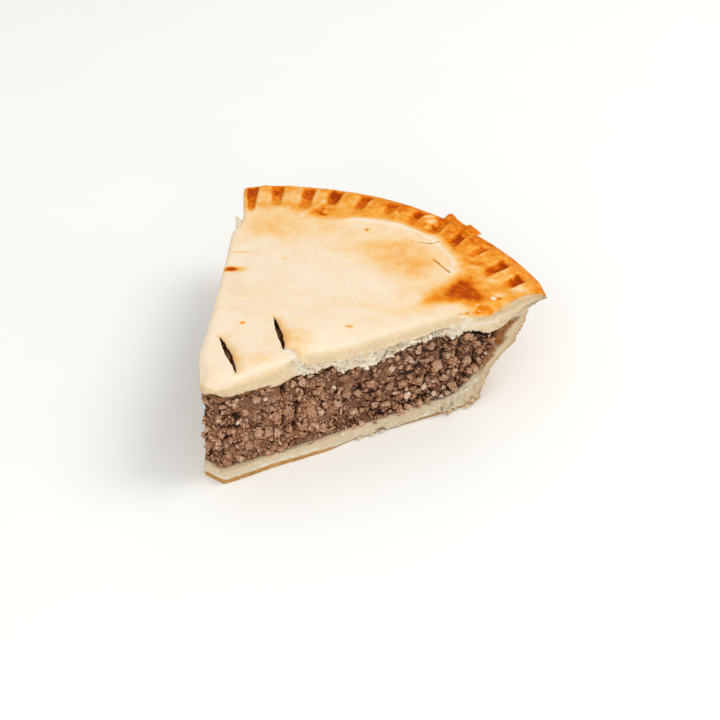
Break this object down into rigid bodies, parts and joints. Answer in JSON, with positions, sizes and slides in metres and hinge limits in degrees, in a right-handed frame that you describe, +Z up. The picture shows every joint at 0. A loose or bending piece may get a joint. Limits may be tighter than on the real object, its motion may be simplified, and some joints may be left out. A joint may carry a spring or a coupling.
{
  "type": "meat pie slice",
  "caption": "Cut slice of a covered meat pie: crimped lid crust with vent slits, packed minced meat filling and a bottom crust with a flared wall; rests flat on its base.",
  "frame": {"origin": "centre of the slice's box, on the surface it stands on", "axes": "+Z up out of the lid, +Y from the slice's point to the middle of its rim, +X to the right of that"},
  "size_m": [0.1184, 0.1184, 0.0395],
  "materials": {
    "lid_crust": "pale baked shortcrust, satin, golden to orange-brown at the crimped rim",
    "meat_filling": "moist crumbly cooked minced meat, pinkish grey-brown with dark gaps",
    "bottom_crust": "pale cut dough with a golden-brown baked underside and outer wall"
  },
  "bodies": {
    "root": {"lid_crust": "lid_crust", "meat_filling": "meat_filling", "bottom_crust": "bottom_crust"}
  },
  "joints": []
}
